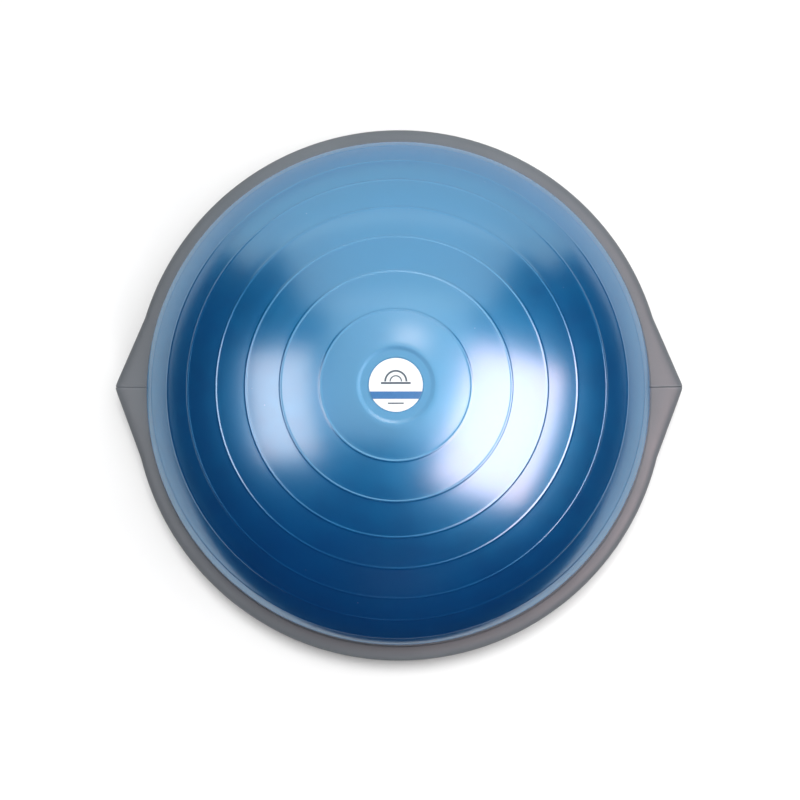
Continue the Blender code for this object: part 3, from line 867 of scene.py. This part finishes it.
class Look:
    """A material's node tree, with short calls that add nodes and link them."""

    def __init__(self, name):
        self.material = bpy.data.materials.new(name)
        self.material.use_nodes = True
        self.tree = self.material.node_tree
        self.shader = self.tree.nodes["Principled BSDF"]
        self.place = self.tree.nodes.new("ShaderNodeTexCoord").outputs["Object"]

    def put(self, socket, value):
        """Links a node's output to a socket, or sets the socket to a plain value."""
        if isinstance(value, bpy.types.NodeSocket):
            self.tree.links.new(value, socket)
        else:
            socket.default_value = value

    def node(self, kind, inputs, **settings):
        """Adds a node with its settings and its inputs."""
        made = self.tree.nodes.new(kind)
        for key, value in settings.items():
            setattr(made, key, value)
        for key, value in inputs.items():
            self.put(made.inputs[key], value)
        return made

    def set(self, **values):
        """Sets or links the shader's inputs, named with _ for a space."""
        for key, value in values.items():
            self.put(self.shader.inputs[key.replace("_", " ")], value)

    def stretched(self, x, y, z):
        """Object coordinates scaled by axis, for grain that runs one way."""
        return self.node("ShaderNodeMapping", {"Vector": self.place, "Scale": (x, y, z)}).outputs["Vector"]

    def noise(self, scale, detail=2.0, roughness=0.5, at=None):
        inputs = {"Vector": at or self.place, "Scale": scale, "Detail": detail, "Roughness": roughness}
        return self.node("ShaderNodeTexNoise", inputs).outputs["Fac"]

    def remap(self, value, low, high, to_low=0.0, to_high=1.0):
        inputs = {"Value": value, "From Min": low, "From Max": high, "To Min": to_low, "To Max": to_high}
        return self.node("ShaderNodeMapRange", inputs).outputs["Result"]

    def math(self, operation, first, second=0.0):
        return self.node("ShaderNodeMath", {0: first, 1: second}, operation=operation).outputs[0]

    def mix(self, share, first, second):
        """Mixes two colours. A Mix node's colour sockets are its inputs 6 and 7 and its output 2."""
        made = self.node("ShaderNodeMix", {"Factor": share}, data_type="RGBA")
        self.put(made.inputs[6], first)
        self.put(made.inputs[7], second)
        return made.outputs[2]

    def bump(self, height, distance, after=None):
        """Bump of a depth in metres, on top of another bump if there is one."""
        inputs = {"Height": height, "Distance": distance, "Strength": 1.0}
        if after:
            inputs["Normal"] = after
        return self.node("ShaderNodeBump", inputs).outputs["Normal"]

    def edges(self, low, high):
        """1 on sharp outer edges, 0 on flat surfaces."""
        pointiness = self.node("ShaderNodeNewGeometry", {}).outputs["Pointiness"]
        return self.remap(pointiness, low, high)


def colour(red, green, blue):
    return (red, green, blue, 1.0)


def dome_look():
    """Pearl-blue blown vinyl: a satin blue sheen under a glossy skin, faintly clouded, with dust specks."""
    look = Look("pearl_blue_vinyl")
    clouds = look.remap(look.noise(11.0, 4.0, 0.55), 0.3, 0.7)
    blue = look.mix(clouds, colour(0.0, 0.037, 0.200), colour(0.0, 0.049, 0.242))
    flakes = look.remap(look.noise(2600.0, 1.0), 0.55, 0.75, 0.0, 0.35)
    blue = look.mix(flakes, blue, colour(0.0, 0.110, 0.320))
    patches = look.remap(look.noise(90.0, 3.0), 0.35, 0.75, 0.0, 0.2)
    worn = look.math("MULTIPLY", look.edges(0.52, 0.60), patches)
    blue = look.mix(worn, blue, colour(0.020, 0.230, 0.520))
    cells = look.node("ShaderNodeTexVoronoi", {"Vector": look.place, "Scale": 70.0})
    dots = look.remap(cells.outputs["Distance"], 0.035, 0.06, 1.0, 0.0)
    chosen = look.node("ShaderNodeSeparateColor", {"Color": cells.outputs["Color"]}).outputs["Red"]
    specks = look.math("MULTIPLY", dots, look.remap(chosen, 0.93, 0.97))
    blue = look.mix(look.math("MULTIPLY", specks, 0.5), blue, colour(0.35, 0.55, 0.75))
    roughness = look.remap(look.noise(35.0, 4.0, 0.6), 0.3, 0.7, 0.36, 0.44)
    streaks = look.noise(1.0, 6.0, 0.7, at=look.stretched(60, 900, 200))
    scuffs = look.remap(streaks, 0.62, 0.8, 0.0, 0.15)
    peel = look.bump(look.noise(420.0, 2.0), 0.00003)
    waves = look.bump(look.noise(38.0, 2.0), 0.0002, after=peel)
    look.set(
        Base_Color=blue,
        IOR=2.7,
        Specular_IOR_Level=1.0,
        Specular_Tint=colour(0.0, 0.56, 1.0),
        Roughness=look.math("ADD", roughness, scuffs),
        Normal=waves,
        Coat_Weight=1.0,
        Coat_Roughness=0.22,
        Coat_IOR=2.47,
    )
    return look.material


def moulded_look(name, low, high, grain, rough):
    """Moulded plastic with a fine spark-eroded grain, scuffs and rubbed edges."""
    look = Look(name)
    clouds = look.remap(look.noise(9.0, 5.0, 0.6), 0.3, 0.7)
    grey = look.mix(clouds, colour(*low), colour(*high))
    fleck = look.remap(look.noise(grain * 1.7, 1.0), 0.6, 0.8, 0.0, 0.25)
    grey = look.mix(fleck, grey, colour(*[min(1.0, c * 1.35) for c in high]))
    patches = look.remap(look.noise(60.0, 4.0), 0.35, 0.7, 0.1, 0.7)
    rub = look.math("MULTIPLY", look.edges(0.515, 0.58), patches)
    grey = look.mix(rub, grey, colour(*[min(1.0, c * 1.7) for c in high]))
    streaks = look.noise(1.0, 5.0, 0.65, at=look.stretched(40, 500, 120))
    scratches = look.remap(streaks, 0.64, 0.78, 0.0, 0.12)
    roughness = look.remap(look.noise(28.0, 4.0, 0.6), 0.3, 0.7, rough - 0.05, rough + 0.05)
    fine = look.bump(look.noise(grain, 3.0, 0.6), 0.00006)
    look.set(
        Base_Color=grey,
        Roughness=look.math("SUBTRACT", roughness, scratches),
        Normal=look.bump(look.noise(30.0, 2.0), 0.00015, after=fine),
        Specular_IOR_Level=0.6,
    )
    return look.material


def rubber_look():
    """Dull black rubber, dusty in patches."""
    look = Look("ribbed_rubber")
    dust = look.remap(look.noise(45.0, 5.0, 0.65), 0.4, 0.8, 0.0, 0.5)
    black = look.mix(dust, colour(0.018, 0.018, 0.020), colour(0.075, 0.072, 0.068))
    look.set(
        Base_Color=black,
        Roughness=look.remap(look.noise(120.0, 3.0), 0.3, 0.7, 0.72, 0.88),
        Normal=look.bump(look.noise(1500.0, 2.0), 0.00008),
    )
    return look.material


def soft_vinyl_look(name, low, high):
    """Satin soft vinyl of the valve and the plug, a little grubby."""
    look = Look(name)
    grime = look.remap(look.noise(220.0, 4.0, 0.6), 0.35, 0.75)
    look.set(
        Base_Color=look.mix(grime, colour(*low), colour(*high)),
        Roughness=look.remap(look.noise(300.0, 3.0), 0.3, 0.7, 0.38, 0.52),
        Normal=look.bump(look.noise(900.0, 2.0), 0.00003),
        Subsurface_Weight=0.05,
    )
    return look.material


def steel_look():
    """Zinc-plated steel with a patchy passivation tint."""
    look = Look("zinc_plated_steel")
    patches = look.remap(look.noise(300.0, 4.0, 0.6), 0.3, 0.7)
    look.set(
        Base_Color=look.mix(patches, colour(0.42, 0.42, 0.43), colour(0.62, 0.61, 0.58)),
        Metallic=1.0,
        Roughness=look.remap(look.noise(900.0, 3.0), 0.3, 0.7, 0.24, 0.42),
        Normal=look.bump(look.noise(2500.0, 2.0), 0.00001),
    )
    return look.material


def label_look():
    """Print on white vinyl: a half-ball on its board, a blue band and a short line, one below the other."""
    look = Look("printed_vinyl")
    split = look.node("ShaderNodeSeparateXYZ", {"Vector": look.place})
    x, y = split.outputs["X"], split.outputs["Y"]

    def between(value, low, high):
        """1 where a length lies between two others, with a soft printed edge."""
        above = look.remap(value, low - PRINT_EDGE, low + PRINT_EDGE)
        below = look.remap(value, high - PRINT_EDGE, high + PRINT_EDGE, 1.0, 0.0)
        return look.math("MULTIPLY", above, below)

    def both(first, second):
        return look.math("MULTIPLY", first, second)

    def either(first, second):
        return look.math("MAXIMUM", first, second)

    up = look.math("SUBTRACT", y, BALL_CENTRE_Y)
    squares = look.math("ADD", look.math("POWER", x, 2.0), look.math("POWER", up, 2.0))
    reach = look.math("SQRT", squares)
    over_board = between(up, 0.0, BALL_LINE_TOP)
    arcs = both(either(between(reach, *BALL_LINE), between(reach, *INNER_LINE)), over_board)
    board = both(between(y, *BOARD_LINE), between(x, -BOARD_HALF_LENGTH, BOARD_HALF_LENGTH))
    foot_line = both(between(y, *FOOT_LINE), between(x, -FOOT_LINE_HALF_LENGTH, FOOT_LINE_HALF_LENGTH))
    drawing = either(either(arcs, board), foot_line)
    band = between(y, *BAND)
    fade = look.remap(look.noise(260.0, 4.0, 0.6), 0.3, 0.7)
    white = look.mix(fade, colour(0.80, 0.84, 0.87), colour(0.88, 0.90, 0.91))
    blue = look.mix(fade, colour(0.034, 0.155, 0.380), colour(0.042, 0.175, 0.420))
    slate = look.mix(fade, colour(0.050, 0.075, 0.105), colour(0.070, 0.100, 0.135))
    look.set(
        Base_Color=look.mix(drawing, look.mix(band, white, blue), slate),
        Roughness=look.remap(look.noise(400.0, 3.0), 0.3, 0.7, 0.30, 0.42),
        Normal=look.bump(look.noise(700.0, 2.0), 0.00002),
        Specular_IOR_Level=0.4,
        Coat_Weight=0.1,
        Coat_Roughness=0.2,
    )
    return look.material


# ---------------------------------------------------------------- studio


def direction(azimuth, from_vertical):
    """Unit vector: azimuth turns from +X towards +Y, from_vertical leans away from +Z."""
    turn, lean = math.radians(azimuth), math.radians(from_vertical)
    return Vector((math.cos(turn) * math.sin(lean), math.sin(turn) * math.sin(lean), math.cos(lean)))


def softbox(name, place, aim, width, height, brightness, lights, tint=(1.0, 1.0, 1.0)):
    """A rectangular lamp that faces a point and looks equally bright whatever its size.

    A lamp that lights "gloss" is a card that only shows as a highlight. One that lights "body" never does.
    """
    light = bpy.data.lights.new(name, "AREA")
    light.shape = "RECTANGLE"
    light.size = width
    light.size_y = height
    light.energy = brightness * width * height * math.pi
    light.color = tint
    lamp = bpy.data.objects.new(name, light)
    lamp.location = place
    lamp.rotation_euler = (Vector(aim) - Vector(place)).to_track_quat("-Z", "Y").to_euler()
    lamp.visible_camera = False
    lamp.visible_diffuse = lights != "gloss"
    lamp.visible_glossy = lights != "body"
    bpy.context.scene.collection.objects.link(lamp)


def sun(name, towards, angle, strength):
    """A distant lamp whose disc is as wide as angle. It never shows as a highlight."""
    light = bpy.data.lights.new(name, "SUN")
    light.energy = strength
    light.angle = angle
    lamp = bpy.data.objects.new(name, light)
    lamp.rotation_euler = (-towards).to_track_quat("-Z", "Y").to_euler()
    lamp.visible_glossy = False
    bpy.context.scene.collection.objects.link(lamp)


def sheet(name, corners, height, look):
    """A level sheet that is part of the studio. corners are (x, y)."""
    mesh = bpy.data.meshes.new(name)
    mesh.from_pydata([(x, y, height) for x, y in corners], [], [tuple(range(len(corners)))])
    mesh.materials.append(look)
    piece = bpy.data.objects.new(name, mesh)
    bpy.context.scene.collection.objects.link(piece)
    return piece


def paper_look(name, low, high):
    """Matt paper, faintly mottled between two greys."""
    look = Look(name)
    mottle = look.remap(look.noise(3.0, 3.0), 0.3, 0.7)
    look.set(Base_Color=look.mix(mottle, colour(low, low, low), colour(high, high, high)), Roughness=0.9)
    return look.material


def build_floor():
    """A pale floor, and a smaller grey sheet that stands in for it in reflections.

    The sheet ends just in front of the platform, so the dome's front mirrors the dim walls there.
    """
    half = 4.0
    corners = [(-half, -half), (half, -half), (half, half), (-half, half)]
    floor = sheet("floor", corners, 0.0, paper_look("pale_floor", 0.90, 0.93))
    floor.visible_glossy = False
    corners = [(-0.8, -0.37), (0.8, -0.37), (2.3, 1.6), (-2.3, 1.6)]
    bounce = sheet("bounce_sheet", corners, 0.001, paper_look("grey_paper", 0.54, 0.56))
    bounce.visible_camera = False
    bounce.visible_diffuse = False
    bounce.visible_shadow = False


def build_lights():
    """Three lamps light the floor and the surfaces. The others only show as highlights."""
    centre = Vector((0.0, 0.0, 0.15))
    sun("key", direction(88, 16), math.radians(24), 2.05)

    # A softbox's numbers are its place, the point it faces, its width, its height and its brightness
    softbox("top_fill", centre + direction(40, 22) * 1.7, centre, 2.0, 2.0, 1.95, "body")
    softbox("front_fill", centre + direction(270, 65) * 2.2, centre, 0.8, 0.8, 7.0, "body")

    cool = (0.92, 1.05, 1.0)
    softbox("back_window", (0.0, 1.6, 2.0), (0.0, 0.0, 1.55), 2.9, 1.8, 0.80, "gloss", cool)
    softbox("low_window", (0.0, 1.6, 0.55), (0.0, 0.0, 0.55), 3.7, 1.1, 0.80, "gloss", cool)
    softbox("overhead", (0.0, 0.35, 2.6), (0.0, 0.0, 0.2), 1.9, 1.9, 0.87, "gloss", cool)

    warm = (1.0, 0.84, 0.80)
    rosy = (1.3, 0.84, 0.80)
    softbox("left_box", centre + direction(185, 37) * 1.8, centre, 1.0, 0.7, 3.0, "gloss", warm)
    softbox("right_box", centre + direction(343, 35) * 1.9, centre, 1.5, 1.2, 4.2, "gloss", rosy)
    softbox("top_spot", centre + direction(78, 17) * 2.2, centre, 0.30, 0.18, 4.7, "gloss", warm)


def build_world():
    """Dim studio walls, with a pale backdrop where the camera sees past the floor."""
    world = bpy.data.worlds.new("studio")
    bpy.context.scene.world = world
    world.use_nodes = True
    tree = world.node_tree
    tree.nodes.clear()
    rays = tree.nodes.new("ShaderNodeLightPath")
    walls = tree.nodes.new("ShaderNodeBackground")
    walls.inputs["Color"].default_value = colour(0.80, 0.88, 1.0)
    walls.inputs["Strength"].default_value = 0.012
    backdrop = tree.nodes.new("ShaderNodeBackground")
    backdrop.inputs["Color"].default_value = colour(0.92, 0.93, 0.94)
    backdrop.inputs["Strength"].default_value = 1.0
    either = tree.nodes.new("ShaderNodeMixShader")
    output = tree.nodes.new("ShaderNodeOutputWorld")
    tree.links.new(rays.outputs["Is Camera Ray"], either.inputs["Fac"])
    tree.links.new(walls.outputs["Background"], either.inputs[1])
    tree.links.new(backdrop.outputs["Background"], either.inputs[2])
    tree.links.new(either.outputs["Shader"], output.inputs["Surface"])


def build_camera():
    """Nearly straight above, leaning a little towards -Y and +X, with +Y up in the picture."""
    azimuth, elevation = math.radians(16.7), math.radians(87.4)
    back = Vector((
        math.sin(azimuth) * math.cos(elevation),
        -math.cos(azimuth) * math.cos(elevation),
        math.sin(elevation),
    ))
    aim = Vector((0.0013, -0.0056, 0.0))
    distance = 2.0
    data = bpy.data.cameras.new("camera")
    data.lens = 73.45
    data.sensor_width = 36.0
    camera = bpy.data.objects.new("camera", data)
    camera.location = aim + back * distance
    side = Vector((0, 1, 0)).cross(back).normalized()
    up = back.cross(side)
    camera.rotation_euler = Matrix((side, up, back)).transposed().to_euler()
    bpy.context.scene.collection.objects.link(camera)
    bpy.context.scene.camera = camera


def build():
    """Every piece with its material."""
    rim = moulded_look("rim_grey_plastic", (0.124, 0.136, 0.152), (0.141, 0.154, 0.171), 1100.0, 0.50)
    pan = moulded_look("pan_grey_plastic", (0.060, 0.064, 0.070), (0.075, 0.080, 0.087), 800.0, 0.58)
    build_dome(dome_look())
    build_label(label_look())
    build_rim(rim)
    build_pan(pan)
    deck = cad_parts["deck_plate"]
    deck.data.materials.clear()
    deck.data.materials.append(pan)
    build_pads(rubber_look())
    grey = soft_vinyl_look("valve_grey_vinyl", (0.10, 0.11, 0.12), (0.14, 0.15, 0.16))
    white = soft_vinyl_look("plug_white_vinyl", (0.52, 0.51, 0.47), (0.72, 0.72, 0.69))
    build_valve_seat(grey)
    build_plug(white)
    build_screws(steel_look())


build()
build_floor()
build_lights()
build_world()
build_camera()
bpy.context.scene.view_settings.view_transform = "Standard"
